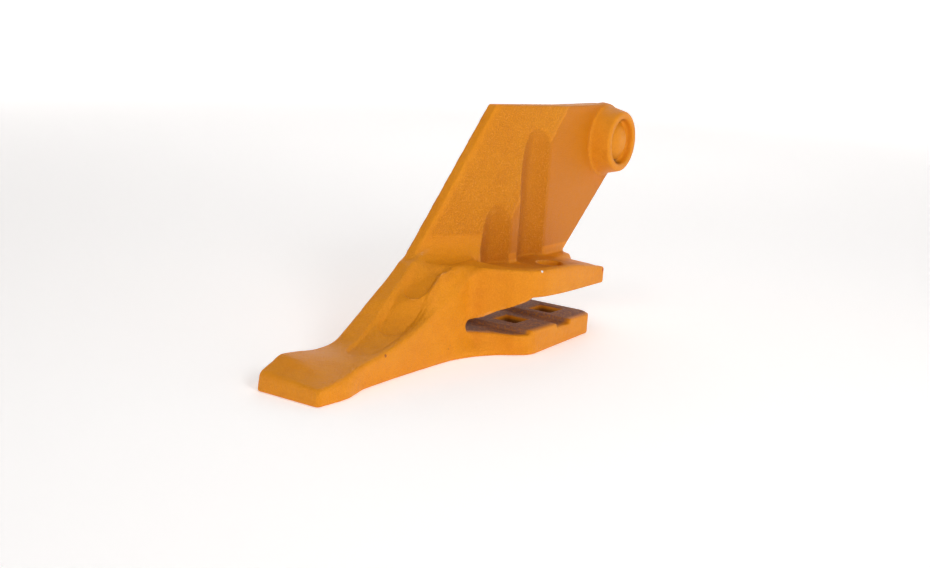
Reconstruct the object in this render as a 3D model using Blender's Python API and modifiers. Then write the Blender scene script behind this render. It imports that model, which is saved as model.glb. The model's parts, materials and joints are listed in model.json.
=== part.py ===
"""Side-cutter tooth for a backhoe bucket: a cast, bolt-on wear part. Metres, +Z up.

The tooth is a chisel nose, a fork of two jaws that grips the bucket's lip, a side plate that sweeps up and
back beside the bucket's own side, and a tapered boss that locates in a hole in that side. The casting is
modelled as one solid for each of these masses, with a hairline gap where one runs into the next.

Sizes below are in millimetres in the fork's own frame: +X towards the cutting tip, +Y inboard, +Z up, with
the origin on the lower jaw's seat pads, midway between the two bolt axes. The whole tooth is then set down
on its flat underside, which is tapered against the seat pads.
"""

import math

import bmesh
import bpy
from mathutils import Matrix, Vector

MM = 0.001
GAP = 0.3  # hairline between neighbouring solids

# --- fork: the lip slot and its bolts -------------------------------------------------------------------
BOLT_PITCH = 54.0  # between the two bolt axes
SQUARE_HOLE = 21.5  # square neck of a 20 mm plough bolt
ROUND_HOLE = 21.0  # bolt hole in the upper jaw
SLOT_HEIGHT = 26.0  # lip thickness the fork takes, from seat pad to upper jaw
PAD_REACH = 24.0  # front pad, ahead of the front bolt axis
SLOT_REACH = 33.0  # from the front pad on to the slot's end wall
SLOT_ROOT_HEIGHT = 10.0  # end wall, before the roof slopes up to full height
PAD_RELIEF = 3.0  # seat pads stand this much above the slot's floor
PAD_GROOVE_WIDTH = 21.0  # groove between the pads
PAD_GROOVE_OFFSET = 2.5  # its middle, ahead of the middle between the bolts
ROOF_LEDGE = 7.0  # level stretch of roof next to the end wall
ROOF_SLOPE_LENGTH = 25.0  # from the end wall's ledge back to the flat roof
FLARE_INSET = 2.0  # near side at the slot's end wall, inside the nose's near side
LOWER_FLARE_LEAD = 8.0  # where the lower jaw starts to flare out, ahead of the slot's end wall
UPPER_FLARE_LEAD = -3.0  # the same on the upper jaw

# --- lower jaw -------------------------------------------------------------------------------------------
LOWER_THICKNESS = 17.75  # pad to underside, midway between the bolts
UNDERSIDE_TILT = math.radians(1.74)  # taper of the underside against the pads
LOWER_NEAR_Y = 34.5
LOWER_TAIL = 21.0  # behind the rear bolt axis
LOWER_CORNER = (8.0, 10.0)  # blunted near corner, along and across

# --- upper jaw -------------------------------------------------------------------------------------------
UPPER_THICKNESS = 13.0  # at the nut seats
RIM_HEIGHT = 8.0  # rim in front of the nut seats, above them
RIM_WIDTH = 8.0
RIM_FALL = math.radians(7.0)  # the rim falls away behind the middle between the bolts
UPPER_NEAR_Y = 40.0
UPPER_TAIL = 27.0  # near corner, behind the rear bolt axis
UPPER_CORNER = (5.0, 8.0)  # blunted near corner, along and across
UPPER_SWELL = 36.0  # the near side swells to its full width this far behind the front pad's end
NUT_SEAT_R = 29.0  # room for a nut and its socket round each bolt axis
SCALLOP_DRAFT = math.radians(2.5)  # the same room runs up the side plate, narrowing by this draft
SCALLOP_SETBACK = 3.0  # the scallops lie this far behind the bolt axes

# --- side plate ------------------------------------------------------------------------------------------
OUTER_Y = -55.0  # outboard side of the nose and of the leading edge
PLATE_THICKNESS = 16.0  # behind the shoulder
PLATE_INNER_Y = -20.0  # flat face that lies against the bucket's side
PLATE_EDGE_THICKNESS = 9.0  # blunt leading edge
PLATE_TOP_Z = 163.7
LEADING_ANGLE = math.radians(47.5)  # lean of the leading edge above the horizontal
LEADING_LEAD = 17.7  # leading edge at the rim's height, ahead of the slot's end wall
WEDGE_WIDTH = 54.5  # leading edge to shoulder crease, square to the edge
REAR_ANGLE = math.radians(40.7)  # lean of the rear edge above the horizontal

# --- locating boss ---------------------------------------------------------------------------------------
BOSS_X = -145.0
BOSS_END_R = 26.0
BOSS_BASE_R = 30.5
BOSS_LENGTH = 17.5
BOSS_RECESS_R = 20.0
BOSS_RECESS_DEPTH = 6.5
BOSS_DOME_R = 16.0
BOSS_DOME_HEIGHT = 6.0
BOSS_RIM = 2.0  # rounding of the boss's end face
RECESS_DRAFT = 1.5  # the recess is this much narrower at its floor
BOSS_FOOT = (2.0, 3.0)  # rounding where the boss meets the plate, in and up
PLATE_END_R = 31.2  # rounded end of the side plate, concentric with the boss

# --- nose ------------------------------------------------------------------------------------------------
TIP_X = 255.0
TIP_THICKNESS = 10.0
TIP_BEVEL_LENGTH = 22.0  # chisel bevel behind the cutting edge
TIP_HOLLOW_LENGTH = 30.0  # from the bevel to the blade's lowest section
TIP_NEAR_DROP = 7.0  # the bevel's rear end is lower on the near side
NOSE_FOOT = 1.0  # the near side leans out this much down to its foot
NOSE_SHOULDER = 0.45  # height of that foot, as a share of the nose's depth
TOP_HOLLOW = 1.0  # the nose's top is this much hollow across
NOSE_NEAR_Y = -5.5
TIP_NEAR_Y = -4.0
TIP_FAR_Y = -60.0
BLADE_Z = -3.2  # top of the blade behind the bevel, before it climbs to the rim
NOSE_ROUND = 2.0
FOOT_FLARE = 14.0  # the near side's foot spreads this much at the slot's root
FOOT_FLARE_SHARE = 0.3  # and starts to spread this share of the way from root to tip
# The nose's top: share of the way from root to tip, and its climb from the blade to the rim, far and near.
NOSE_CLIMB = (
    (0.602, 0.045, 0.048),
    (0.450, 0.275, 0.195),
    (0.287, 0.64, 0.365),
    (0.158, 0.84, 0.555),
    (0.070, 0.94, 0.68),
    (0.0, 1.0, 0.87),
)

EDGE_ROUND = 2.5
JAW_OVERRUN = 30.0  # the jaws' outlines run on this far into the nose, then are cut at the slot's root
HOLE_SEGMENTS = 48
BOSS_SEGMENTS = 64
CUTTER_REACH = 400.0
CUTTER_MARGIN = 20.0

# linear colour and roughness of each material
ENAMEL = ((0.745, 0.279, 0.032), 0.42)
ENAMEL_DEEP = ((0.630, 0.220, 0.022), 0.40)
ENAMEL_THIN = ((0.560, 0.205, 0.050), 0.50)

BOLT_XS = (BOLT_PITCH / 2, -BOLT_PITCH / 2)
PAD_FRONT_X = BOLT_XS[0] + PAD_REACH
SLOT_ROOT_X = PAD_FRONT_X + SLOT_REACH
LOWER_REAR_X = BOLT_XS[1] - LOWER_TAIL
UPPER_REAR_X = BOLT_XS[1] - UPPER_TAIL
UPPER_SEAT_Z = SLOT_HEIGHT + UPPER_THICKNESS
UPPER_RIM_Z = UPPER_SEAT_Z + RIM_HEIGHT
LEADING_FOOT = (SLOT_ROOT_X + LEADING_LEAD, UPPER_RIM_Z)
BOSS_Z = PLATE_TOP_Z - PLATE_END_R
REAR_OUTER_Y = PLATE_INNER_Y - PLATE_THICKNESS
ALONG_EDGE = Vector((-math.cos(LEADING_ANGLE), 0, math.sin(LEADING_ANGLE)))
BEHIND_EDGE = Vector((-math.sin(LEADING_ANGLE), 0, -math.cos(LEADING_ANGLE)))


def underside_z(x):
    """Height of the tapered underside below a point at x."""
    return -LOWER_THICKNESS - x * math.tan(UNDERSIDE_TILT)


def leading_x(z):
    """The leading edge's x at height z."""
    return LEADING_FOOT[0] + (LEADING_FOOT[1] - z) / math.tan(LEADING_ANGLE)


def crease_x(z):
    """The shoulder crease's x at height z."""
    return leading_x(z) - WEDGE_WIDTH / math.sin(LEADING_ANGLE)


def outer_y(x, z):
    """The outboard side's y: it slants in from the leading edge to the shoulder, and is flat behind it."""
    share = (leading_x(z) - x) / (leading_x(z) - crease_x(z))
    return OUTER_Y + (REAR_OUTER_Y - OUTER_Y) * min(max(share, 0), 1)


def slant_normal(edge_y, rear_y):
    """Normal, towards +Y, of the plane from the leading edge at edge_y to the shoulder crease at rear_y."""
    normal = ALONG_EDGE.cross(BEHIND_EDGE * WEDGE_WIDTH + Vector((0, rear_y - edge_y, 0)))
    return normal if normal.y > 0 else -normal


def arc(center, radius, start, end, steps):
    """Points on a circle from angle start to angle end, in radians."""
    return [
        (
            center[0] + radius * math.cos(start + (end - start) * i / steps),
            center[1] + radius * math.sin(start + (end - start) * i / steps),
        )
        for i in range(steps + 1)
    ]


def clear_scene():
    for obj in list(bpy.data.objects):
        bpy.data.objects.remove(obj, do_unlink=True)


def new_collection(name):
    collection = bpy.data.collections.new(name)
    bpy.context.scene.collection.children.link(collection)
    return collection


def new_material(name, color, roughness):
    material = bpy.data.materials.new(name)
    material.use_nodes = True
    shader = material.node_tree.nodes["Principled BSDF"]
    shader.inputs["Base Color"].default_value = (*color, 1.0)
    shader.inputs["Roughness"].default_value = roughness
    shader.inputs["Metallic"].default_value = 0.0
    return material


def add_object(name, mesh, collection):
    obj = bpy.data.objects.new(name, mesh)
    collection.objects.link(obj)
    return obj


def prism(name, outline, low, high, plane, collection):
    """A flat outline extruded from low to high: plane "XY" extrudes along Z, plane "XZ" along Y."""
    curve = bpy.data.curves.new(name, "CURVE")
    curve.dimensions = "2D"
    curve.fill_mode = "BOTH"
    curve.extrude = (high - low) / 2 * MM
    spline = curve.splines.new("POLY")
    spline.points.add(len(outline) - 1)
    for point, (u, v) in zip(spline.points, outline):
        point.co = (u * MM, v * MM, 0, 1)
    spline.use_cyclic_u = True
    guide = bpy.data.objects.new(name, curve)
    collection.objects.link(guide)
    middle = (high + low) / 2 * MM
    if plane == "XZ":
        place = Matrix.Translation((0, middle, 0)) @ Matrix.Rotation(math.pi / 2, 4, "X")
    else:
        place = Matrix.Translation((0, 0, middle))
    guide.matrix_world = place
    bpy.context.view_layer.update()
    evaluated = guide.evaluated_get(bpy.context.evaluated_depsgraph_get())
    mesh = bpy.data.meshes.new_from_object(evaluated)
    mesh.transform(place)
    bpy.data.objects.remove(guide, do_unlink=True)
    solid = bmesh.new()
    solid.from_mesh(mesh)
    bmesh.ops.remove_doubles(solid, verts=solid.verts, dist=0.00001)
    bmesh.ops.recalc_face_normals(solid, faces=solid.faces)
    solid.to_mesh(mesh)
    solid.free()
    return add_object(name, mesh, collection)


def block(name, low, high, collection):
    """A box between two corners."""
    solid = bmesh.new()
    bmesh.ops.create_cube(solid, size=1.0)
    size = Vector(high) - Vector(low)
    middle = (Vector(high) + Vector(low)) / 2
    for vert in solid.verts:
        vert.co = Vector([vert.co[i] * size[i] + middle[i] for i in range(3)]) * MM
    mesh = bpy.data.meshes.new(name)
    solid.to_mesh(mesh)
    solid.free()
    return add_object(name, mesh, collection)


def half_space(name, point, normal, collection):
    """A large cube whose one face lies on the plane through point, on the side that normal points to."""
    reach = CUTTER_REACH
    mesh = block(name, (-reach, -reach, 0), (reach, reach, reach * 2), collection).data
    turn = Vector(normal).to_track_quat("Z", "Y").to_matrix().to_4x4()
    mesh.transform(Matrix.Translation(Vector(point) * MM) @ turn)
    return bpy.data.objects[name]


def cylinder(name, radius, low, high, x, collection, top_radius=None):
    """An upright cylinder, or a cone where top_radius is given, about an axis at x."""
    solid = bmesh.new()
    bmesh.ops.create_cone(
        solid,
        cap_ends=True,
        segments=HOLE_SEGMENTS,
        radius1=radius * MM,
        radius2=(top_radius or radius) * MM,
        depth=(high - low) * MM,
        matrix=Matrix.Translation(Vector((x, 0, (high + low) / 2)) * MM),
    )
    mesh = bpy.data.meshes.new(name)
    solid.to_mesh(mesh)
    solid.free()
    return add_object(name, mesh, collection)


def turned(name, profile, segments, collection):
    """A profile of (radius, height) points spun about +Y through the boss's centre, by a Screw modifier."""
    mesh = bpy.data.meshes.new(name)
    points = [(radius * MM, 0, height * MM) for radius, height in profile]
    mesh.from_pydata(points, [(i, i + 1) for i in range(len(points) - 1)], [])
    obj = add_object(name, mesh, collection)
    screw = obj.modifiers.new("turn", "SCREW")
    screw.steps = screw.render_steps = segments
    screw.use_merge_vertices = True
    screw.merge_threshold = 0.00001
    obj.location = Vector((BOSS_X, PLATE_INNER_Y + GAP, BOSS_Z)) * MM
    obj.rotation_euler = (-math.pi / 2, 0, 0)
    return obj


def bevel(obj, width, segments=2, angle=math.radians(28)):
    modifier = obj.modifiers.new("rounded edges", "BEVEL")
    modifier.width = width * MM
    modifier.segments = segments
    modifier.limit_method = "ANGLE"
    modifier.angle_limit = angle


def cut(obj, cutter, operation="DIFFERENCE"):
    modifier = obj.modifiers.new(cutter.name, "BOOLEAN")
    modifier.operation = operation
    modifier.object = cutter
    modifier.solver = "EXACT"
    cutter.hide_render = True
    cutter.display_type = "WIRE"


def finish(obj, material, frame):
    obj.data.materials.clear()
    obj.data.materials.append(material)
    obj.data.shade_smooth()
    obj.data.set_sharp_from_angle(angle=math.radians(35))
    obj.parent = frame


def near_flare(level_front, level_rear, steps=5):
    """Plan curve from the nose's side out to the jaw's side: a shallow S between two (x, y) points."""
    (x0, y0), (x1, y1) = level_front, level_rear
    points = []
    for i in range(steps + 1):
        t = i / steps
        points.append((x0 + (x1 - x0) * t, y0 + (y1 - y0) * (t * t * (3 - 2 * t) * 0.5 + t * 0.5)))
    return points


def make_lower_jaw(parts, cutters):
    """The jaw under the lip: a tapered slab with two seat pads and two square holes for plough bolts."""
    front = SLOT_ROOT_X + JAW_OVERRUN
    outline = [(crease_x(UPPER_SEAT_Z), REAR_OUTER_Y), (front, OUTER_Y), (front, NOSE_NEAR_Y)]
    flare_start = (SLOT_ROOT_X + LOWER_FLARE_LEAD, NOSE_NEAR_Y + FLARE_INSET)
    outline += near_flare(flare_start, (PAD_FRONT_X, LOWER_NEAR_Y))
    outline += [
        (LOWER_REAR_X + LOWER_CORNER[0], LOWER_NEAR_Y),
        (LOWER_REAR_X, LOWER_NEAR_Y - LOWER_CORNER[1]),
        (LOWER_REAR_X, REAR_OUTER_Y),
    ]
    below = underside_z(front) - CUTTER_MARGIN
    jaw = prism("lower_jaw", outline, below, 0, "XY", parts)
    under = (0, 0, underside_z(0))
    down = (-math.sin(UNDERSIDE_TILT), 0, -math.cos(UNDERSIDE_TILT))
    cut(jaw, half_space("lower_jaw_underside", under, down, cutters))
    bevel(jaw, EDGE_ROUND)
    cut(jaw, half_space("lower_jaw_root", (SLOT_ROOT_X - GAP, 0, 0), (1, 0, 0), cutters))
    half = SQUARE_HOLE / 2
    for i, x in enumerate(BOLT_XS):
        low, high = (x - half, -half, below), (x + half, half, CUTTER_MARGIN)
        hole = block(f"square_hole_{i + 1}", low, high, cutters)
        cut(jaw, hole)
    wide = CUTTER_REACH / 2
    cut(jaw, block("front_relief", (PAD_FRONT_X, -wide, -PAD_RELIEF), (wide, wide, PAD_RELIEF), cutters))
    groove_rear = PAD_GROOVE_OFFSET - PAD_GROOVE_WIDTH / 2
    groove_front = PAD_GROOVE_OFFSET + PAD_GROOVE_WIDTH / 2
    low, high = (groove_rear, -wide, -PAD_RELIEF), (groove_front, wide, PAD_RELIEF)
    cut(jaw, block("pad_groove", low, high, cutters))
    return jaw


def make_upper_jaw(parts, cutters):
    """The jaw over the lip: sloped roof at the slot's root, round holes, nut seats and a near-side rim."""
    roof_z = SLOT_ROOT_HEIGHT - PAD_RELIEF
    front = SLOT_ROOT_X + JAW_OVERRUN
    side = [
        (front, roof_z),
        (SLOT_ROOT_X - ROOF_LEDGE, roof_z),
        (SLOT_ROOT_X - ROOF_LEDGE - ROOF_SLOPE_LENGTH, SLOT_HEIGHT),
        (-CUTTER_REACH / 2, SLOT_HEIGHT),
        (-CUTTER_REACH / 2, UPPER_RIM_Z),
        (front, UPPER_RIM_Z),
    ]
    low_y, high_y = OUTER_Y - CUTTER_MARGIN, UPPER_NEAR_Y + CUTTER_MARGIN
    jaw = prism("upper_jaw", side, low_y, high_y, "XZ", parts)
    foot_x = plate_outline()[-1][0]
    plan = [(crease_x(UPPER_SEAT_Z), REAR_OUTER_Y), (front, OUTER_Y), (front, NOSE_NEAR_Y)]
    flare_start = (SLOT_ROOT_X + UPPER_FLARE_LEAD, NOSE_NEAR_Y + FLARE_INSET)
    plan += near_flare(flare_start, (PAD_FRONT_X, LOWER_NEAR_Y))
    plan += [
        (PAD_FRONT_X - UPPER_SWELL, UPPER_NEAR_Y),
        (UPPER_REAR_X + UPPER_CORNER[0], UPPER_NEAR_Y),
        (UPPER_REAR_X, UPPER_NEAR_Y - UPPER_CORNER[1]),
        (foot_x, PLATE_INNER_Y),
        (foot_x, REAR_OUTER_Y),
    ]
    above = UPPER_RIM_Z + CUTTER_MARGIN
    cut(jaw, prism("upper_jaw_plan", plan, -CUTTER_MARGIN, above, "XY", cutters), "INTERSECT")
    bevel(jaw, EDGE_ROUND)
    cut(jaw, half_space("upper_jaw_root", (SLOT_ROOT_X - GAP, 0, 0), (1, 0, 0), cutters))
    wide = CUTTER_REACH / 2
    seat_near = UPPER_NEAR_Y - RIM_WIDTH
    seat_low = (-wide, -wide, UPPER_SEAT_Z)
    cut(jaw, block("rear_seat", seat_low, (BOLT_XS[0], seat_near, above), cutters))
    cut(jaw, block("plate_bed", seat_low, (wide, PLATE_INNER_Y, above), cutters))
    fall = (-math.sin(RIM_FALL), 0, math.cos(RIM_FALL))
    cut(jaw, half_space("rim_run_out", (0, 0, UPPER_RIM_Z), fall, cutters))
    for i, x in enumerate(BOLT_XS):
        cut(jaw, cylinder(f"nut_seat_{i + 1}", NUT_SEAT_R, UPPER_SEAT_Z, above, x, cutters))
        cut(jaw, cylinder(f"round_hole_{i + 1}", ROUND_HOLE / 2, 0, above, x, cutters))
    return jaw


def plate_outline():
    """Side view of the plate: leading edge, level top, round end about the boss, rear edge, foot."""
    low = UPPER_SEAT_Z + GAP
    center = (BOSS_X, BOSS_Z)
    rear_normal = 1.5 * math.pi - REAR_ANGLE
    end = arc(center, PLATE_END_R, math.pi / 2, rear_normal, 14)
    tangent = end[-1]
    foot_x = tangent[0] + (tangent[1] - low) / math.tan(REAR_ANGLE)
    return [(leading_x(low), low), (leading_x(PLATE_TOP_Z), PLATE_TOP_Z)] + end + [(foot_x, low)]


def make_side_plate(parts, cutters):
    """The swept plate: flat outboard face, wedge face up to the shoulder, then the flat inner face."""
    plate = prism("side_plate", plate_outline(), OUTER_Y, PLATE_INNER_Y, "XZ", parts)
    bevel(plate, EDGE_ROUND)
    edge_y = OUTER_Y + PLATE_EDGE_THICKNESS
    inner = slant_normal(edge_y, PLATE_INNER_Y)
    foot_x, foot_z = LEADING_FOOT
    cut(plate, half_space("wedge_face", (foot_x, edge_y, foot_z), inner, cutters))
    outer = -slant_normal(OUTER_Y, REAR_OUTER_Y)
    outside = half_space("outer_face", (foot_x, OUTER_Y, foot_z), outer, cutters)
    cut(outside, half_space("outer_rear_face", (0, REAR_OUTER_Y, 0), (0, -1, 0), cutters), "INTERSECT")
    cut(plate, outside)
    top = PLATE_TOP_Z + CUTTER_MARGIN
    top_r = NUT_SEAT_R - (top - UPPER_SEAT_Z) * math.tan(SCALLOP_DRAFT)
    foot_r = NUT_SEAT_R + UPPER_SEAT_Z * math.tan(SCALLOP_DRAFT)
    for i, x in enumerate(BOLT_XS):
        cut(plate, cylinder(f"scallop_{i + 1}", foot_r, 0, top, x - SCALLOP_SETBACK, cutters, top_r))
    return plate


def make_locating_boss(parts):
    """A short cone with a rounded end face and a round recess in it."""
    floor = BOSS_LENGTH - BOSS_RECESS_DEPTH
    corner = BOSS_RIM * (1 - math.sqrt(0.5))
    profile = [
        (0, floor),
        (BOSS_RECESS_R - RECESS_DRAFT, floor),
        (BOSS_RECESS_R, BOSS_LENGTH - BOSS_RIM / 2),
        (BOSS_RECESS_R + BOSS_RIM / 3, BOSS_LENGTH),
        (BOSS_END_R - BOSS_RIM, BOSS_LENGTH),
        (BOSS_END_R - corner, BOSS_LENGTH - corner),
        (BOSS_END_R, BOSS_LENGTH - BOSS_RIM),
        (BOSS_BASE_R - BOSS_FOOT[0], BOSS_FOOT[1]),
        (BOSS_BASE_R, 0),
        (0, 0),
    ]
    return turned("locating_boss", profile, BOSS_SEGMENTS, parts)


def make_recess_dome(parts):
    """The domed centre that stands in the boss's recess."""
    floor = BOSS_LENGTH - BOSS_RECESS_DEPTH + GAP
    crown = (BOSS_DOME_R**2 + BOSS_DOME_HEIGHT**2) / (2 * BOSS_DOME_HEIGHT)
    start = math.asin(BOSS_DOME_R / crown)
    center = (0, floor + BOSS_DOME_HEIGHT - crown)
    profile = arc(center, crown, math.pi / 2, math.pi / 2 - start, 8)
    return turned("recess_dome", profile + [(0, floor)], HOLE_SEGMENTS, parts)


def nose_section(x, far_y, foot_y, near_y, far_top, near_top):
    """One cross-section of the nose at x: underside, near side with its flared foot, top, far side."""
    foot = underside_z(x)
    shoulder = foot + (near_top - foot) * NOSE_SHOULDER
    return [
        (x, far_y, foot),
        (x, foot_y, foot),
        (x, near_y, shoulder),
        (x, near_y, near_top),
        (x, (far_y + near_y) / 2, (far_top + near_top) / 2 - TOP_HOLLOW),
        (x, far_y, far_top),
    ]


def make_nose(parts, cutters):
    """The chisel nose, lofted through cross-sections from the cutting tip back to the slot's root."""
    tip_top = underside_z(TIP_X) + TIP_THICKNESS
    bevel_x = TIP_X - TIP_BEVEL_LENGTH
    blade_x = bevel_x - TIP_HOLLOW_LENGTH
    tip_sides = TIP_FAR_Y, TIP_NEAR_Y - NOSE_FOOT, TIP_NEAR_Y
    sections = [
        nose_section(TIP_X, *tip_sides, tip_top, tip_top),
        nose_section(bevel_x, *tip_sides, BLADE_Z + NOSE_FOOT, BLADE_Z + NOSE_FOOT - TIP_NEAR_DROP),
        nose_section(blade_x, OUTER_Y - NOSE_FOOT, NOSE_NEAR_Y - NOSE_FOOT, NOSE_NEAR_Y, BLADE_Z, BLADE_Z),
    ]
    rim = UPPER_RIM_Z - BLADE_Z
    for share, far_climb, near_climb in NOSE_CLIMB:
        x = SLOT_ROOT_X + (TIP_X - SLOT_ROOT_X) * share
        flare = FOOT_FLARE * max(0, 1 - share / FOOT_FLARE_SHARE) ** 2
        sides = outer_y(x, UPPER_SEAT_Z), NOSE_NEAR_Y - NOSE_FOOT + flare, NOSE_NEAR_Y
        sections.append(nose_section(x, *sides, BLADE_Z + rim * far_climb, BLADE_Z + rim * near_climb))
    solid = bmesh.new()
    rings = [[solid.verts.new(Vector(p) * MM) for p in section] for section in sections]
    for ahead, behind in zip(rings, rings[1:]):
        for i in range(len(ahead)):
            j = (i + 1) % len(ahead)
            solid.faces.new((ahead[i], ahead[j], behind[j], behind[i]))
    solid.faces.new(rings[0])
    solid.faces.new(rings[-1])
    bmesh.ops.recalc_face_normals(solid, faces=solid.faces)
    mesh = bpy.data.meshes.new("nose")
    solid.to_mesh(mesh)
    solid.free()
    nose = add_object("nose", mesh, parts)
    bevel(nose, NOSE_ROUND, angle=math.radians(40))
    bed = (-CUTTER_REACH, -CUTTER_REACH, UPPER_SEAT_Z)
    reach = leading_x(UPPER_SEAT_Z) + GAP
    above = UPPER_RIM_Z + CUTTER_MARGIN
    cut(nose, block("plate_foot_bed", bed, (reach, PLATE_INNER_Y, above), cutters))
    return nose


def main():
    clear_scene()
    parts = new_collection("side_cutter_tooth")
    cutters = new_collection("cutters")
    frame = bpy.data.objects.new("fork_frame", None)
    parts.objects.link(frame)
    enamel = new_material("casting_enamel", *ENAMEL)
    enamel_deep = new_material("boss_enamel", *ENAMEL_DEEP)
    enamel_thin = new_material("thin_enamel", *ENAMEL_THIN)
    finish(make_nose(parts, cutters), enamel, frame)
    finish(make_lower_jaw(parts, cutters), enamel_thin, frame)
    finish(make_upper_jaw(parts, cutters), enamel, frame)
    finish(make_side_plate(parts, cutters), enamel, frame)
    finish(make_locating_boss(parts), enamel_deep, frame)
    finish(make_recess_dome(parts), enamel_deep, frame)
    for cutter in cutters.objects:
        cutter.parent = frame
    turn = Matrix.Rotation(-UNDERSIDE_TILT, 4, "Y")
    frame.matrix_world = turn @ Matrix.Translation(Vector((0, 0, LOWER_THICKNESS)) * MM)
    bpy.context.view_layer.update()


main()
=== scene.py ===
"""Looks of the side-cutter tooth: one sand-cast, spray-painted steel casting with a domed boss recess.

Shapes are worked out in millimetres in the fork's own frame: +X to the cutting tip, +Y inboard, +Z up,
with the origin on the seat pads, midway between the two bolt axes. The casting branches into a fork, so no
single two-way grid wraps it. Its skin is the zero level of a distance formula, found on a grid of cells.
"""

import json
import math

import bpy
import numpy as np
from mathutils import Matrix, Vector


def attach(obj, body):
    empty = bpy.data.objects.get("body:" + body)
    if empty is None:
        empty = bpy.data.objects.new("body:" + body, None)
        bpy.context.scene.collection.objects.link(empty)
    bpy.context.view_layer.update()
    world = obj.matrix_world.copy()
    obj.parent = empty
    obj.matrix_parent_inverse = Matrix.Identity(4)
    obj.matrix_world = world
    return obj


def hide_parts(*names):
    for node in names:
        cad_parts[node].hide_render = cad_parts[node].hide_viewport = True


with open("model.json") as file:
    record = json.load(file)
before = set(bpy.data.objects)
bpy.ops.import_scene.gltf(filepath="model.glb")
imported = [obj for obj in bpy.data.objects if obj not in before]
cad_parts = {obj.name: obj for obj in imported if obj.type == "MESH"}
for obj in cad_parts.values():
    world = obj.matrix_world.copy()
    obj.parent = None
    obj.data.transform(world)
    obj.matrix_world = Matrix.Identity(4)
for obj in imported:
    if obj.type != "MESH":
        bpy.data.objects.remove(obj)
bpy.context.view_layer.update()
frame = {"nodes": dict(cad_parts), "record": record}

MM = 0.001
CELL = 1.35  # grid step of the skin


# --- sizes read from the frame ---------------------------------------------------------------------------
MOUNTS = {m["name"]: m for m in frame["record"]["mounts"]}
SEAT_UP = np.array(MOUNTS["lip_seat_front"]["axis"], float)
TILT = math.atan2(-SEAT_UP[0], SEAT_UP[2])  # the fork's frame leans this much against the flat underside
FORWARD = np.array([math.cos(TILT), 0.0, math.sin(TILT)])


def level(name):
    """Height of a mount's point along the fork's own up direction, in millimetres."""
    return float(np.dot(MOUNTS[name]["pos_m"], SEAT_UP)) / MM


def along(name):
    """Place of a mount's point along the fork's own forward direction, in millimetres."""
    return float(np.dot(MOUNTS[name]["pos_m"], FORWARD)) / MM


LIFT = level("lip_seat_front")  # seat pads above the underside, below the origin
SLOT_HEIGHT = level("lip_clamp_face") - LIFT
SEAT_Z = level("nut_seat_front") - LIFT
BOLT_XS = (along("nut_seat_front"), along("nut_seat_rear"))


def fork_box(node):
    """A node's lowest and highest corners in the fork's frame: its vertices turned back by the tilt."""
    mesh = frame["nodes"][node].data
    points = np.empty(len(mesh.vertices) * 3)
    mesh.vertices.foreach_get("co", points)
    points = points.reshape(-1, 3) / MM
    turned = np.stack([points @ FORWARD, points[:, 1], points @ SEAT_UP - LIFT], axis=1)
    return turned.min(axis=0), turned.max(axis=0)


NOSE_LOW, NOSE_HIGH = fork_box("nose")
LOWER_LOW = fork_box("lower_jaw")[0]
UPPER_LOW, UPPER_HIGH = fork_box("upper_jaw")
PLATE_LOW, PLATE_HIGH = fork_box("side_plate")
BOSS_LOW, BOSS_HIGH = fork_box("locating_boss")
DOME_LOW, DOME_HIGH = fork_box("recess_dome")

TIP_X = NOSE_HIGH[0]
ROOT_X = NOSE_LOW[0]  # end wall of the slot
RIM_Z = UPPER_HIGH[2]
FACE_Y = BOSS_LOW[1]  # inner face of the side plate
BOSS_X = (BOSS_LOW[0] + BOSS_HIGH[0]) / 2
BOSS_Z = (BOSS_LOW[2] + BOSS_HIGH[2]) / 2
BOSS_BASE_R = (BOSS_HIGH[2] - BOSS_LOW[2]) / 2
BOSS_END_Y = BOSS_HIGH[1]
PLATE_TOP = PLATE_HIGH[2]
PLATE_END_R = BOSS_X - PLATE_LOW[0]

# --- sizes of the casting that the frame doesn't give ----------------------------------------------------
PAD_FRONT_X = BOLT_XS[0] + 24.0
PAD_RELIEF = 3.0
GROOVE = (-8.0, 13.0)  # between the seat pads
SQUARE_HOLE = 21.5
ROUND_HOLE = 21.0
NUT_SEAT_R = 29.0
SCALLOP_R = 28.4
SCALLOP_SETBACK = 1.5
SCALLOP_ROUND = 1.8
LEADING_ANGLE = math.radians(47.5)
LEADING_FOOT = (ROOT_X + 20.4, RIM_Z)
WEDGE_WIDTH = 54.5
OUTER_Y = -55.0
REAR_OUTER_Y = -36.0
EDGE_Y = -46.0  # inner side of the blunt leading edge
REAR_ANGLE = math.radians(40.7)
BOSS_END_R = 26.0
RECESS_R = 20.0
RECESS_FLOOR_Y = DOME_LOW[1]

EDGE_ROUND = 2.0
LEADING_ROUND = 1.3
FOOT_FILLET = 16.0  # between the wedge face and the shelf in front of the nut seats
SEAT_FILLET = 3.0
BOSS_FILLET = 3.5
SLOT_PAINT = (2.0, 7.0)  # the enamel turns dusty this far inside the slot's near edge
SLOT_ROUND = 1.4
SLOT_END_ROUND = 4.6
JAW_ROUND = 3.0  # upright edges of the nose and jaws
TIP_ROUND = 3.4
UNDER_ROUND = 1.8
CORNER_FACING = (0.78, 0.62)  # the lower jaw's cut rear corner faces this much back and inboard
BLUNT_FACING = (0.85, 0.53)  # and the upper jaw's this much
TIP_FACING = (0.98, 0.12)  # the tip's end faces this much forward and up
START_GAP = 99.0  # where a search for the nearest of several solids starts
HOLLOW_REACH = 7.0  # the skin looks this far out for walls round it
EDGE_REACH = 2.2  # and this far in for the skin beyond an edge
ON_SKIN = 0.8  # a point this close to a cut-out's wall belongs to it


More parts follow.
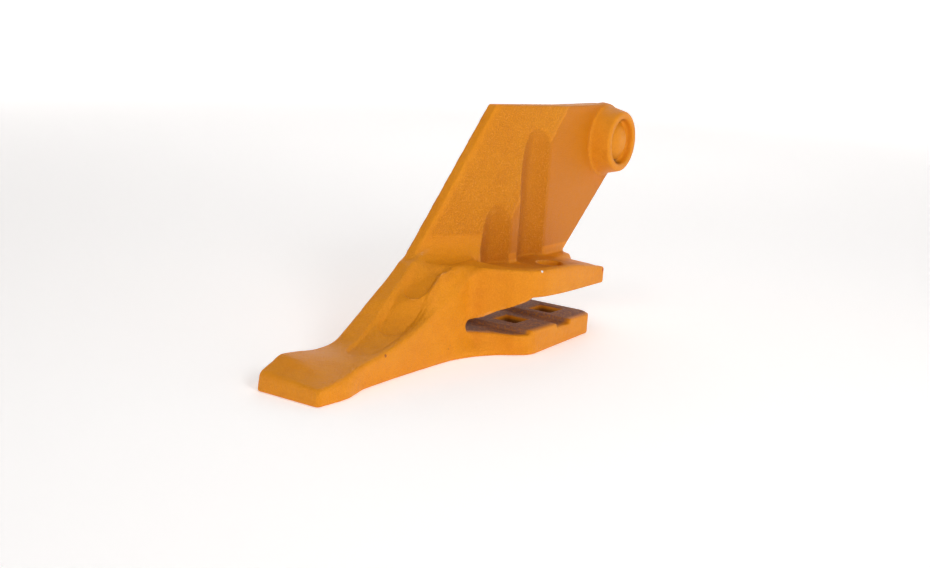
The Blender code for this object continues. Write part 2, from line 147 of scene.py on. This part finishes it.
# --- distance formulas -----------------------------------------------------------------------------------
def both(a, b, r=EDGE_ROUND):
    """Overlap of two solids with the edge rounded to radius r: a circle's distance where both are close."""
    corner = np.hypot(np.maximum(a + r, 0), np.maximum(b + r, 0)) - r
    return np.where((a > -r) & (b > -r), corner, np.maximum(a, b))


def joined(a, b, r):
    """Two solids run together with a fillet of about radius r: a parabola across the inner corner."""
    near = np.maximum(r - np.abs(a - b), 0) / r
    return np.minimum(a, b) - near * near * r / 4


def less(a, b, r=1.5):
    """Solid a with b taken out, the new edge rounded to radius r."""
    return both(a, -b, r)


def ramp(low, high, value):
    """0 below low, 1 above high, and a smooth S between."""
    t = np.clip((value - low) / (high - low), 0, 1)
    return t * t * (3 - 2 * t)


def curve(points, t):
    """A smooth line through (t, value) points: cubic pieces, whose slope at a point is the harmonic mean of
    the slopes on either side, or level at a peak, so that the line never overshoots its points."""
    knots, values = np.array(points, float).T
    steps = np.diff(values) / np.diff(knots)
    product = steps[:-1] * steps[1:]
    total = np.where(product > 0, steps[:-1] + steps[1:], 1)
    slopes = np.concatenate([steps[:1], np.where(product > 0, 2 * product / total, 0), steps[-1:]])
    inside = np.clip(t, knots[0], knots[-1])
    i = np.clip(np.searchsorted(knots, inside, side="right") - 1, 0, len(knots) - 2)
    width = knots[i + 1] - knots[i]
    u = (inside - knots[i]) / width
    start = values[i] * (1 + 2 * u) * (1 - u) ** 2 + slopes[i] * width * u * (1 - u) ** 2
    end = values[i + 1] * u**2 * (3 - 2 * u) + slopes[i + 1] * width * u**2 * (u - 1)
    return start + end


def slope_of(points, t):
    """How far a curve rises per millimetre at t."""
    return curve(points, t + 0.5) - curve(points, t - 0.5)


def capsule(x, y, start, end, r_start, r_end):
    """Distance in plan to a stroke from start to end whose half-width runs from r_start to r_end."""
    dx, dy = end[0] - start[0], end[1] - start[1]
    t = np.clip(((x - start[0]) * dx + (y - start[1]) * dy) / (dx * dx + dy * dy), 0, 1)
    return np.hypot(x - start[0] - dx * t, y - start[1] - dy * t) - (r_start + (r_end - r_start) * t)


def leading_x(z):
    """x of the plate's leading edge at height z."""
    return LEADING_FOOT[0] + (LEADING_FOOT[1] - z) / math.tan(LEADING_ANGLE)


# Outlines, as (x, y) or (x, z) points in the fork's frame.
LOWER_NEAR = (
    (-60, 34.5), (46, 34.5), (51, 33.4), (63, 26), (68, 13.5), (74, 5), (80, -3.2), (86, -5), (300, -5.6),
)
UPPER_NEAR = (
    (-60, 40.2), (-2, 40), (15, 39.6), (36, 37.6), (51, 33), (62, 23.5), (68, 13.5), (74, 5), (80, -3.2),
    (86, -5), (240, -5.4), (300, -2),
)
FOOT_NEAR = (
    (-60, 34.5), (44, 34.5), (52, 32.4), (57, 28.2), (70, 14.6), (87, 4.2), (108, -2.2), (142, -5),
    (175, -6.8), (202, -7.3), (216, -4.6), (228, -2.4), (254, -5.2),
)
FAR_SIDE = ((180, OUTER_Y), (203, -56), (233, -58.8), (300, -63))
ROOF = (
    (-100, SLOT_HEIGHT), (50.5, SLOT_HEIGHT), (54, 23.6), (62.2, 18.6), (71, 11.9), (76, 8.2), (80, 7),
    (100, 7),
)
NEAR_TOP = (
    (-100, 31), (-54, 38.2), (-26, 42.8), (0, 46.2), (20, RIM_Z), (74, RIM_Z), (80, 43.8), (84, 40),
    (94, 34), (114, 24.3), (131, 16.4), (144, 10.6), (159, 5.8), (177, 0.9), (188, -1.6), (206, -4.6),
    (223, -8.3), (241, -11.6), (260, -14.6),
)
FAR_TOP = (
    (-100, RIM_Z), (106, RIM_Z + 0.4), (113, 42.6), (122, 35.9), (134, 28), (146, 20), (157, 12.8),
    (169, 4.9), (180, -1.6), (190, -4), (202, -4.6), (217, -3.4), (233, -2.6), (243, -7), (258, -14.4),
)

# Dishes in the nose's top: front centre, rear centre, front and rear half-width, depth, edge softness.
DISHES = (
    ((184, -24), (98, -27), 12, 15.5, 1.8, 1.3),
    ((150, -25.5), (100, -28), 10.5, 13, 2.2, 0.8),
    ((119, -27), (102, -29), 10, 11, 2.2, 0.8),
)

# Casting pits and paint chips: a point close to the skin, the radius of its spot and its colour.
PITS = (
    ((108, -5.2, -11.6), 1.9, "#8A3E08"),
    ((105.5, -5.2, -9.2), 1.3, "#8A3E08"),
    ((184, -5.6, -2.9), 1.5, "#A3542A"),
    ((-46, 39.6, 36.8), 2.2, "#C04A08"),
)
CHIPS = (
    ((45, 34.8, 46.2), 1.3, "#E6ECEF"),
)


def top_z(x, y):
    """Height of the top skin of nose and rim.

    The far top line is carried across to the near one: down a short bank behind, and along the whole width
    further forward. The dishes are taken from that, up to the shelf's front edge, which runs forward from
    the near side to the far one.
    """
    bank = -15 - 43 * ramp(118, 152, x)
    share = ramp(bank, -4.5, y)
    height = curve(FAR_TOP, x) * (1 - share) + curve(NEAR_TOP, x) * share
    shelf_x = 76 - 0.78 * y
    for start, end, r_start, r_end, depth, soft in DISHES:
        inside = ramp(-soft, soft, -capsule(x, y, start, end, r_start, r_end))
        height = height - depth * inside * ramp(shelf_x - 2, shelf_x + 15, x)
    return height


def near_gap(outline, x, y):
    """Distance outside a near-side outline, measured square to it."""
    return (y - curve(outline, x)) / np.sqrt(1 + slope_of(outline, x) ** 2)


def far_gap(x, y, z):
    """Distance outside the outboard side: flat rear face, slanted face up to the edge, then the nose."""
    share = (leading_x(np.maximum(z, SEAT_Z)) - x) * math.sin(LEADING_ANGLE) / WEDGE_WIDTH
    side = OUTER_Y + (REAR_OUTER_Y - OUTER_Y) * np.clip(share, 0, 1)
    return side + (curve(FAR_SIDE, x) - OUTER_Y) - y


def slot_gap(x, z):
    """Distance outside the lip slot: stepped floor, sloped roof and a half-round end wall."""
    pads = 1 - ramp(PAD_FRONT_X - 1, PAD_FRONT_X + 1, x)
    pads = pads * (1 - ramp(GROOVE[0] - 1, GROOVE[0] + 1, x) * (1 - ramp(GROOVE[1] - 1, GROOVE[1] + 1, x)))
    floor = -PAD_RELIEF * (1 - pads) - z
    roof = (z - curve(ROOF, x)) / np.sqrt(1 + slope_of(ROOF, x) ** 2)
    return both(np.maximum(floor, roof), x - ROOT_X, SLOT_END_ROUND)


def fork_and_nose(x, y, z):
    """Nose and both jaws: the space within the under, top, near, far and end skins, less the slot."""
    lower = z < 2
    shift = ramp(-19, -4, z)
    near_low = near_gap(FOOT_NEAR, x, y) * (1 - shift) + near_gap(LOWER_NEAR, x, y) * shift
    near = np.where(lower, near_low, near_gap(UPPER_NEAR, x, y))
    under = -(z + LIFT + x * math.tan(TILT)) * math.cos(TILT)
    top = (z - top_z(x, y)) * 0.86
    corner = (LOWER_LOW[0] + 8 - x) * CORNER_FACING[0] + (y - 34.5) * CORNER_FACING[1]
    rear_low = both(LOWER_LOW[0] - x, corner, JAW_ROUND)
    slant = math.atan2(UPPER_LOW[0] - (BOLT_XS[1] - 27), -FACE_Y + 32)
    rear_line = (BOLT_XS[1] - 27 - x) * math.cos(slant) + (32 - y) * math.sin(slant)
    blunt = (BOLT_XS[1] - 25.5 - x) * BLUNT_FACING[0] + (y - 40) * BLUNT_FACING[1]
    rear_high = both(np.maximum(rear_line, UPPER_LOW[0] - x), blunt, 4)
    rear = np.where(lower, rear_low, rear_high)
    tip = (x - TIP_X) * TIP_FACING[0] + (z + 20) * TIP_FACING[1]
    solid = both(both(near, far_gap(x, y, z), JAW_ROUND), tip, TIP_ROUND)
    solid = both(solid, rear, JAW_ROUND)
    solid = both(both(solid, under, UNDER_ROUND), top, np.where(x > 150, 2.6, 2.0))
    return less(solid, slot_gap(x, z), SLOT_ROUND)


def nut_seats(x, y, z):
    """Room over the nuts: two upright cylinders and the level seat behind them, down to the seats' height."""
    room = (32 - 40 * ramp(BOLT_XS[0] - 6, BOLT_XS[0] + 14, x)) * -1 + y
    for bolt_x in BOLT_XS:
        room = joined(room, np.hypot(x - bolt_x, y) - NUT_SEAT_R, 2)
    behind = np.maximum(room, x - BOLT_XS[0] - NUT_SEAT_R)
    return both(np.maximum(behind, FACE_Y - 4 - y), SEAT_Z - z, 2.5)


def holes(x, y, z):
    """Two square holes through the lower jaw and two round ones through the upper."""
    out = START_GAP
    half = SQUARE_HOLE / 2
    for bolt_x in BOLT_XS:
        square = both(np.abs(x - bolt_x) - half, np.abs(y) - half, 1.2)
        hole_round = np.hypot(x - bolt_x, y) - ROUND_HOLE / 2
        out = np.minimum(out, np.where(z < SLOT_HEIGHT / 2, square, hole_round))
    return out


def side_plate(x, y, z):
    """The swept plate: leading edge, level top, end round the boss, rear edge, wedge face, two side faces."""
    lead = (x - leading_x(z)) * math.sin(LEADING_ANGLE)
    top = z - PLATE_TOP
    dx, dz = x - BOSS_X, z - BOSS_Z
    rear = -dx * math.sin(REAR_ANGLE) - dz * math.cos(REAR_ANGLE) - PLATE_END_R
    round_end = np.hypot(dx, dz) - PLATE_END_R
    beyond = (dx < 0) & (dx * math.cos(REAR_ANGLE) - dz * math.sin(REAR_ANGLE) < 0)
    outline = np.where(beyond, round_end, np.maximum(top, rear))
    outline = both(outline, lead, LEADING_ROUND)
    wedge = (y - EDGE_Y) + lead * (FACE_Y - EDGE_Y) / WEDGE_WIDTH
    inner = both(wedge * 0.9, y - FACE_Y, 2.5)
    faces = both(inner, far_gap(x, y, np.maximum(z, SEAT_Z)), 2)
    return both(both(outline, faces, LEADING_ROUND), 30 - z)


def scallops(x, y, z):
    """The nuts' room carried up the plate: two upright cylinders."""
    out = START_GAP
    for bolt_x in BOLT_XS:
        out = np.minimum(out, np.hypot(x - bolt_x + SCALLOP_SETBACK, y) - SCALLOP_R)
    return both(out, SEAT_Z - z, 2)


def boss(x, y, z):
    """A short cone about the boss's axis, narrowing to its end face."""
    taper = (BOSS_BASE_R - BOSS_END_R) / (BOSS_END_Y - FACE_Y)
    cone = (np.hypot(x - BOSS_X, z - BOSS_Z) - BOSS_BASE_R + (y - FACE_Y) * taper) / math.hypot(1, taper)
    return np.maximum(both(cone, y - BOSS_END_Y, 2.2), FACE_Y - 6 - y)


def recess(x, y, z):
    """The round recess in the boss's end, a little narrower at its floor."""
    wall = np.hypot(x - BOSS_X, z - BOSS_Z) - RECESS_R + (BOSS_END_Y - y) * 0.2
    return both(wall, RECESS_FLOOR_Y - y, 2)


def casting(x, y, z):
    """Signed distance to the casting's skin, in millimetres, below zero inside."""
    body = less(fork_and_nose(x, y, z), nut_seats(x, y, z), 2.2)
    deep = ramp(20, 50, x) * ramp(EDGE_Y - 3, EDGE_Y + 6, y)
    solid = joined(body, side_plate(x, y, z), SEAT_FILLET + (FOOT_FILLET - SEAT_FILLET) * deep)
    solid = less(solid, scallops(x, y, z), SCALLOP_ROUND)
    solid = joined(solid, boss(x, y, z), BOSS_FILLET)
    solid = less(solid, recess(x, y, z), 1.2)
    return less(solid, holes(x, y, z), 0.9)


# --- from distance formula to mesh -----------------------------------------------------------------------
def gradient(formula, points, step=0.3):
    """Slope of a distance formula at points: half the change between a step ahead and a step behind."""
    parts = []
    for axis in range(3):
        shift = np.zeros(3)
        shift[axis] = step
        ahead = formula(*(points + shift).T)
        behind = formula(*(points - shift).T)
        parts.append((ahead - behind) / (2 * step))
    return np.stack(parts, axis=1)


def grid_axes(low, high, cell):
    """Evenly spaced grid lines between two corners, shaped so that they broadcast to a block."""
    lines = [np.arange(a, b + cell, cell) for a, b in zip(low, high)]
    return lines, (lines[0][:, None, None], lines[1][None, :, None], lines[2][None, None, :])


def skin_of(formula, low, high, cell):
    """Points and quads of a formula's zero level.

    Every grid cell that the level crosses gets one point, at the mean of the crossings on its twelve edges.
    Every grid edge that it crosses gets one quad, between the four cells round that edge. The points are
    then moved along the formula's slope onto the level.
    """
    lines, axes = grid_axes(low, high, cell)
    value = np.broadcast_to(formula(*axes), tuple(len(line) for line in lines)).astype(np.float32)
    inside = value < 0
    corner_steps = np.array([(i, j, k) for i in (0, 1) for j in (0, 1) for k in (0, 1)])
    shape = np.array(value.shape) - 1
    count = np.zeros(shape, np.int8)
    for i, j, k in corner_steps:
        count += inside[i : i + shape[0], j : j + shape[1], k : k + shape[2]]
    cells = np.argwhere((count > 0) & (count < 8))
    corners = np.stack([value[tuple((cells + step).T)] for step in corner_steps], axis=1)
    total = np.zeros((len(cells), 3))
    hits = np.zeros(len(cells))
    for a in range(8):
        for b in range(a + 1, 8):
            if np.abs(corner_steps[a] - corner_steps[b]).sum() != 1:
                continue
            crossed = (corners[:, a] < 0) != (corners[:, b] < 0)
            t = np.where(crossed, corners[:, a] / np.where(crossed, corners[:, a] - corners[:, b], 1), 0)
            point = corner_steps[a] + t[:, None] * (corner_steps[b] - corner_steps[a])
            total += point * crossed[:, None]
            hits += crossed
    points = np.array(low) + (cells + total / hits[:, None]) * cell
    index = np.full(shape, -1, np.int32)
    index[tuple(cells.T)] = np.arange(len(cells))
    quads = [quads_along(axis, inside, index) for axis in range(3)]
    for _ in range(4):
        slope = gradient(formula, points)
        size = np.maximum((slope**2).sum(axis=1), 0.05)
        move = -slope * (formula(*points.T) / size)[:, None]
        reach = np.linalg.norm(move, axis=1, keepdims=True)
        points = points + move * np.minimum(1, 0.4 * cell / np.maximum(reach, 1e-6))
    return points, np.concatenate(quads)


def quads_along(axis, inside, index):
    """One quad for each grid edge along an axis whose two ends lie on either side of the skin."""
    ahead = np.moveaxis(inside, axis, 0)
    crossed = ahead[1:] != ahead[:-1]
    cell = np.moveaxis(index, axis, 0)
    edge = np.argwhere(crossed[:, 1:-1, 1:-1])
    s, u, v = edge.T
    ring = np.stack([cell[s, u, v], cell[s, u + 1, v], cell[s, u + 1, v + 1], cell[s, u, v + 1]], axis=1)
    outward = ahead[:-1][:, 1:-1, 1:-1][tuple(edge.T)]
    if axis == 1:
        outward = ~outward
    return np.where(outward[:, None], ring, ring[:, ::-1])


def to_world(points):
    """Points of the fork's frame set down on the underside, in metres: lifted, then tilted about Y."""
    x, y, z = points.T
    world_x = x * FORWARD[0] + (z + LIFT) * SEAT_UP[0]
    world_z = x * FORWARD[2] + (z + LIFT) * SEAT_UP[2]
    return np.stack([world_x, y, world_z], axis=1) * MM


def new_piece(name, points, faces):
    """A smooth-shaded mesh object at the origin, with its place in its mesh."""
    mesh = bpy.data.meshes.new(name)
    mesh.from_pydata(to_world(points), [], faces)
    mesh.validate()
    mesh.shade_smooth()
    piece = bpy.data.objects.new(name, mesh)
    bpy.context.scene.collection.objects.link(piece)
    return piece


def set_attribute(piece, name, values):
    """A number for each vertex, which the material reads."""
    attribute = piece.data.attributes.new(name, "FLOAT", "POINT")
    attribute.data.foreach_set("value", values.astype(np.float32))


def make_casting():
    """The casting's skin, with numbers at each vertex for rubbed, dusty or sandy paint, and painted shade."""
    low = (PLATE_LOW[0] - 4, NOSE_LOW[1] - 4, -LIFT - 14)
    high = (TIP_X + 4, UPPER_HIGH[1] + 4, PLATE_TOP + 4)
    points, quads = skin_of(casting, low, high, CELL)
    piece = new_piece("casting", points, quads)
    normal = gradient(casting, points)
    normal /= np.maximum(np.linalg.norm(normal, axis=1, keepdims=True), 1e-6)
    # How closed in the skin is by walls round it, for the painted shade in hollows.
    hollow = 1 - casting(*(points + normal * HOLLOW_REACH).T) / HOLLOW_REACH
    edge = 1 + casting(*(points - normal * EDGE_REACH).T) / EDGE_REACH
    x, y, z = points.T
    on_slot = ramp(-1.2, -0.3, -np.abs(slot_gap(x, z)))
    within = on_slot * ramp(SLOT_PAINT[0], SLOT_PAINT[1], -near_gap(LOWER_NEAR, x, y))
    set_attribute(piece, "hollow", np.clip(hollow, 0, 1))
    set_attribute(piece, "edge", np.clip(edge, 0, 1))
    set_attribute(piece, "in_slot", np.clip(within, 0, 1))
    # Dark painted shade down the square holes' walls, and round the dome on the recess's forward side.
    hole_shade = ramp(1.5, 5, np.minimum(-z, z + LIFT + 2)) * (np.abs(holes(x, y, z)) < ON_SKIN) * (z < 0)
    recess_shade = ramp(0.5, 3, BOSS_END_Y - y) * (np.abs(recess(x, y, z)) < ON_SKIN) * ramp(-9, 3, x - BOSS_X)
    set_attribute(piece, "sheltered", np.maximum(hole_shade, recess_shade))
    above_foot = ramp(FOOT_FILLET, FOOT_FILLET + 4, z - RIM_Z)
    wedge = ramp(0.4, 1.6, FACE_Y - y) * above_foot * ramp(0, 3, y - EDGE_Y)
    in_scallop = np.abs(scallops(x, y, z)) < ON_SKIN
    set_attribute(piece, "sandy", np.maximum(wedge, in_scallop))
    # Painted shade on the flat of the side plate and on the scallops' walls, most on their front walls.
    smooth = (np.abs(y - FACE_Y) < 0.7) & (z > RIM_Z)
    front_wall = np.minimum(np.abs(x - BOLT_XS[0] - 9), np.abs(x - BOLT_XS[1] - 9))
    walls = in_scallop * (0.45 + 0.55 * ramp(16, 6, front_wall))
    set_attribute(piece, "pooled", np.maximum(smooth * 0.8, walls))
    return piece


def make_recess_dome():
    """The domed centre in the boss's recess: rings from a dimpled crown out and down to the floor."""
    radius = (DOME_HIGH[0] - DOME_LOW[0]) / 2
    height = DOME_HIGH[1] - DOME_LOW[1]
    share = np.linspace(0, 1, 26)
    around = np.linspace(0, 2 * math.pi, 96, endpoint=False)
    rise = height * (1 - share**2.4) - 0.5 * np.exp(-((share / 0.22) ** 2))
    spread = radius * share
    rise = np.append(rise, -0.2)
    spread = np.append(spread, radius)
    x = BOSS_X + spread[1:, None] * np.cos(around)
    z = BOSS_Z + spread[1:, None] * np.sin(around)
    y = DOME_LOW[1] + np.broadcast_to(rise[1:, None], x.shape)
    rings = np.stack([x, y, z], axis=2).reshape(-1, 3)
    poles = np.array([[BOSS_X, DOME_LOW[1] + rise[0], BOSS_Z], [BOSS_X, DOME_LOW[1] - 0.2, BOSS_Z]])
    points = np.concatenate([rings, poles])
    count = len(around)
    a = np.arange(count)
    b = (a + 1) % count
    faces = []
    for ring in range(len(rise) - 2):
        start = ring * count
        faces += np.stack([a + start, b + start, b + start + count, a + start + count], axis=1).tolist()
    last = (len(rise) - 2) * count
    faces += np.stack([b, a, np.full(count, len(rings))], axis=1).tolist()
    faces += np.stack([a + last, b + last, np.full(count, len(rings) + 1)], axis=1).tolist()
    return new_piece("dome", points, faces)


# --- materials -------------------------------------------------------------------------------------------
def linear(hex_color):
    """An sRGB hex colour as linear RGBA."""
    parts = np.array([int(hex_color[i : i + 2], 16) / 255 for i in (1, 3, 5)])
    bright = ((parts + 0.055) / 1.055) ** 2.4
    return (*np.where(parts <= 0.04045, parts / 12.92, bright).tolist(), 1.0)


def add(tree, kind, settings=None, inputs=None):
    """Adds a node with its settings; an input is a value, or a (node, output) pair that is linked to it."""
    node = tree.nodes.new(kind)
    for key, value in (settings or {}).items():
        setattr(node, key, value)
    for key, value in (inputs or {}).items():
        if isinstance(value, tuple) and len(value) == 2 and isinstance(value[0], bpy.types.Node):
            tree.links.new(value[0].outputs[value[1]], node.inputs[key])
        else:
            node.inputs[key].default_value = value
    return node


def blend_colors(tree, factor, a, b):
    """Mixes two colours by a factor; each may be a value or a (node, output) pair."""
    return add(tree, "ShaderNodeMix", {"data_type": "RGBA"}, {0: factor, 6: a, 7: b}), 2


def enamel_on_sand_casting(name):
    """Orange enamel sprayed on sand-cast steel.

    The sand leaves a grain of about 1 mm, the paint rounds it into orange peel, and it is thin and dusty
    inside the slot. Edges are rubbed paler. Painted shade deepens the orange in hollows, on the flat of
    the side plate and on the scallops' walls; dark painted shade lies in the square holes and round the
    dome in the boss's recess.
    """
    material = bpy.data.materials.new(name)
    material.use_nodes = True
    tree = material.node_tree
    shader = tree.nodes["Principled BSDF"]
    place = add(tree, "ShaderNodeTexCoord"), "Object"
    hollow = add(tree, "ShaderNodeAttribute", {"attribute_name": "hollow"}), "Fac"
    edge = add(tree, "ShaderNodeAttribute", {"attribute_name": "edge"}), "Fac"
    in_slot = add(tree, "ShaderNodeAttribute", {"attribute_name": "in_slot"}), "Fac"
    sheltered = add(tree, "ShaderNodeAttribute", {"attribute_name": "sheltered"}), "Fac"
    sandy = add(tree, "ShaderNodeAttribute", {"attribute_name": "sandy"}), "Fac"
    pooled = add(tree, "ShaderNodeAttribute", {"attribute_name": "pooled"}), "Fac"

    def noise(size_mm, detail, roughness=0.55):
        scale = 1 / (size_mm * MM)
        inputs = {"Vector": place, "Scale": scale, "Detail": detail, "Roughness": roughness}
        return add(tree, "ShaderNodeTexNoise", None, inputs), "Fac"

    def spread(value, low, high, to_low=0.0, to_high=1.0):
        inputs = {0: value, 1: low, 2: high, 3: to_low, 4: to_high}
        return add(tree, "ShaderNodeMapRange", {"interpolation_type": "SMOOTHSTEP"}, inputs), 0

    def times(a, b, operation="MULTIPLY"):
        return add(tree, "ShaderNodeMath", {"operation": operation}, {0: a, 1: b}), 0

    broad = noise(60, 2)
    mottle = noise(9, 3)
    grain = noise(1.1, 2, 0.65)
    peel = noise(4.5, 1)
    color = blend_colors(tree, spread(broad, 0.35, 0.65), linear("#E38C0C"), linear("#E69114"))
    color = blend_colors(tree, times(spread(mottle, 0.4, 0.75), 0.35), color, linear("#D98012"))
    # Painted shade in hollows: a deeper, more saturated orange.
    color = blend_colors(tree, times(spread(hollow, 0.12, 0.6), 0.7), color, linear("#D88200"))
    # Painted shade on the flat of the side plate and on the scallops' walls.
    color = blend_colors(tree, pooled, color, linear("#C87303"))
    between_grains = times(spread(grain, 0.6, 0.38), spread(sandy, 0, 1, 0.2, 0.42))
    color = blend_colors(tree, between_grains, color, linear("#C46C02"))
    on_grains = times(spread(grain, 0.56, 0.72), spread(sandy, 0, 1, 0.12, 0.4))
    color = blend_colors(tree, on_grains, color, linear("#F3AE5C"))
    rubbed = times(spread(edge, 0.3, 0.55), spread(mottle, 0.42, 0.6))
    color = blend_colors(tree, times(rubbed, 0.45), color, linear("#EFA65A"))
    bare = times(spread(edge, 0.34, 0.55), spread(noise(5.5, 4, 0.7), 0.66, 0.7))
    color = blend_colors(tree, times(bare, 0.75), color, linear("#F1D3AE"))
    dust = times(in_slot, spread(noise(2.2, 4, 0.7), 0.3, 0.6, 0.45, 1.0))
    color = blend_colors(tree, dust, color, linear("#8A6250"))
    # Dark painted shade in the square holes and round the dome in the boss's recess.
    color = blend_colors(tree, times(sheltered, 0.85), color, linear("#4A2A12"))
    for spot, radius, tint in PITS + CHIPS:
        center = to_world(np.array([spot], float))[0].tolist()
        away = add(tree, "ShaderNodeVectorMath", {"operation": "DISTANCE"}, {0: place, 1: center}), "Value"
        color = blend_colors(tree, spread(away, radius * MM, radius * MM * 0.5), color, linear(tint))
    tree.links.new(color[0].outputs[color[1]], shader.inputs["Base Color"])

    rough = times(spread(grain, 0.3, 0.7, 0.4, 0.52), times(dust, 0.25), "ADD")
    tree.links.new(rough[0].outputs[rough[1]], shader.inputs["Roughness"])
    shader.inputs["Metallic"].default_value = 0.0
    shader.inputs["IOR"].default_value = 1.5
    shader.inputs["Specular IOR Level"].default_value = 0.2
    height = times(times(grain, spread(sandy, 0, 1, 0.9, 1.8)), times(peel, 0.5), "ADD")
    height = times(height, times(bare, -0.25), "ADD")
    inputs = {"Strength": 1.0, "Distance": 0.9 * MM, "Height": height}
    bump = add(tree, "ShaderNodeBump", None, inputs)
    tree.links.new(bump.outputs[0], shader.inputs["Normal"])
    return material


# --- the object ------------------------------------------------------------------------------------------
skin = make_casting()
skin.data.materials.append(enamel_on_sand_casting("enamel_on_sand_cast_steel"))
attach(skin, "root")
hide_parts("nose", "lower_jaw", "upper_jaw", "side_plate", "locating_boss")

dome = make_recess_dome()
dome.data.materials.append(skin.data.materials[0])
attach(dome, "root")
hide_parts("recess_dome")


# --- floor, light and camera -----------------------------------------------------------------------------
def cove():
    """A white floor that curves up all round: a level run and a quarter circle, carried round the Z axis.

    It shines more the further out it is, so that the surround ends up white.
    """
    level_r, bend_r = 2.4, 1.6
    bend = np.linspace(0, math.pi / 2, 24)
    radius = np.concatenate([[0.5], level_r + bend_r * np.sin(bend)])
    rise = np.concatenate([[0.0], bend_r * (1 - np.cos(bend))])
    around = np.linspace(0, 2 * math.pi, 96, endpoint=False)
    x = radius[:, None] * np.cos(around)
    y = radius[:, None] * np.sin(around)
    z = np.broadcast_to(rise[:, None], x.shape)
    points = np.stack([x, y, z], axis=2).reshape(-1, 3)
    count = len(around)
    a = np.arange(count)
    b = (a + 1) % count
    starts = np.arange(len(radius) - 1)[:, None] * count
    quads = np.stack([a + starts, a + starts + count, b + starts + count, b + starts], axis=2).reshape(-1, 4)
    mesh = bpy.data.meshes.new("floor")
    mesh.from_pydata(points, [], quads.tolist() + [list(range(count))])
    mesh.shade_smooth()
    floor = bpy.data.objects.new("floor", mesh)
    bpy.context.scene.collection.objects.link(floor)
    paint = bpy.data.materials.new("white_floor")
    paint.use_nodes = True
    shader = paint.node_tree.nodes["Principled BSDF"]
    shader.inputs["Base Color"].default_value = linear("#F9F7F6")
    shader.inputs["Roughness"].default_value = 0.8
    tree = paint.node_tree
    place = add(tree, "ShaderNodeTexCoord"), "Object"
    far = add(tree, "ShaderNodeVectorMath", {"operation": "LENGTH"}, {0: place}), "Value"
    inputs = {0: far, 1: 0.5, 2: 3.2, 3: 0.3, 4: 0.95}
    glow = add(tree, "ShaderNodeMapRange", {"interpolation_type": "SMOOTHSTEP"}, inputs)
    tree.links.new(glow.outputs[0], shader.inputs["Emission Strength"])
    shader.inputs["Emission Color"].default_value = linear("#FFFDFC")
    mesh.materials.append(paint)


def lights():
    """A dim white surround and three soft lamps: inboard, overhead and behind."""
    world = bpy.data.worlds.new("surround")
    bpy.context.scene.world = world
    world.use_nodes = True
    world.node_tree.nodes["Background"].inputs["Color"].default_value = linear("#FFFFFF")
    world.node_tree.nodes["Background"].inputs["Strength"].default_value = 0.05
    aim = Vector((0.04, 0, 0.08))
    for name, place, size, power in (
        ("inboard", (0.55, 1.15, 0.8), 0.45, 7.4),
        ("overhead", (0.15, 0.1, 1.5), 1.0, 5.6),
        ("behind", (-1.0, -0.6, 1.0), 0.8, 4.0),
    ):
        data = bpy.data.lights.new(name, "AREA")
        data.size = size
        data.energy = power
        lamp = bpy.data.objects.new(name, data)
        lamp.location = place
        lamp.rotation_mode = "QUATERNION"
        lamp.rotation_quaternion = (aim - Vector(place)).to_track_quat("-Z", "Y")
        bpy.context.scene.collection.objects.link(lamp)


def camera():
    """A 50 mm view from ahead and inboard, a little above, rolled with the fork's frame."""
    azimuth, elevation, roll = math.radians(32.89), math.radians(11.86), math.radians(4.09)
    distance, shift_x, shift_y = 1024.37, 36.5, -27.22
    back = np.array([math.cos(elevation) * math.cos(azimuth), math.cos(elevation) * math.sin(azimuth),
                     math.sin(elevation)])
    right = np.array([-math.sin(azimuth), math.cos(azimuth), 0])
    up = np.cross(back, right)
    rolled_right = right * math.cos(roll) + up * math.sin(roll)
    rolled_up = up * math.cos(roll) - right * math.sin(roll)
    place = back * distance - rolled_right * shift_x - rolled_up * shift_y + np.array([BOLT_XS[0], 0, 0])
    turn = np.stack([FORWARD, (0, 1, 0), SEAT_UP], axis=1)
    data = bpy.data.cameras.new("camera")
    data.lens = 50.0
    data.sensor_width = 36.0
    data.clip_start = 0.01
    view = bpy.data.objects.new("camera", data)
    axes = Matrix((turn @ np.stack([rolled_right, rolled_up, back], axis=1)).tolist()).to_4x4()
    view.matrix_world = Matrix.Translation(to_world(place[None])[0].tolist()) @ axes
    bpy.context.scene.collection.objects.link(view)
    bpy.context.scene.camera = view


cove()
lights()
camera()
bpy.context.scene.view_settings.view_transform = "Standard"
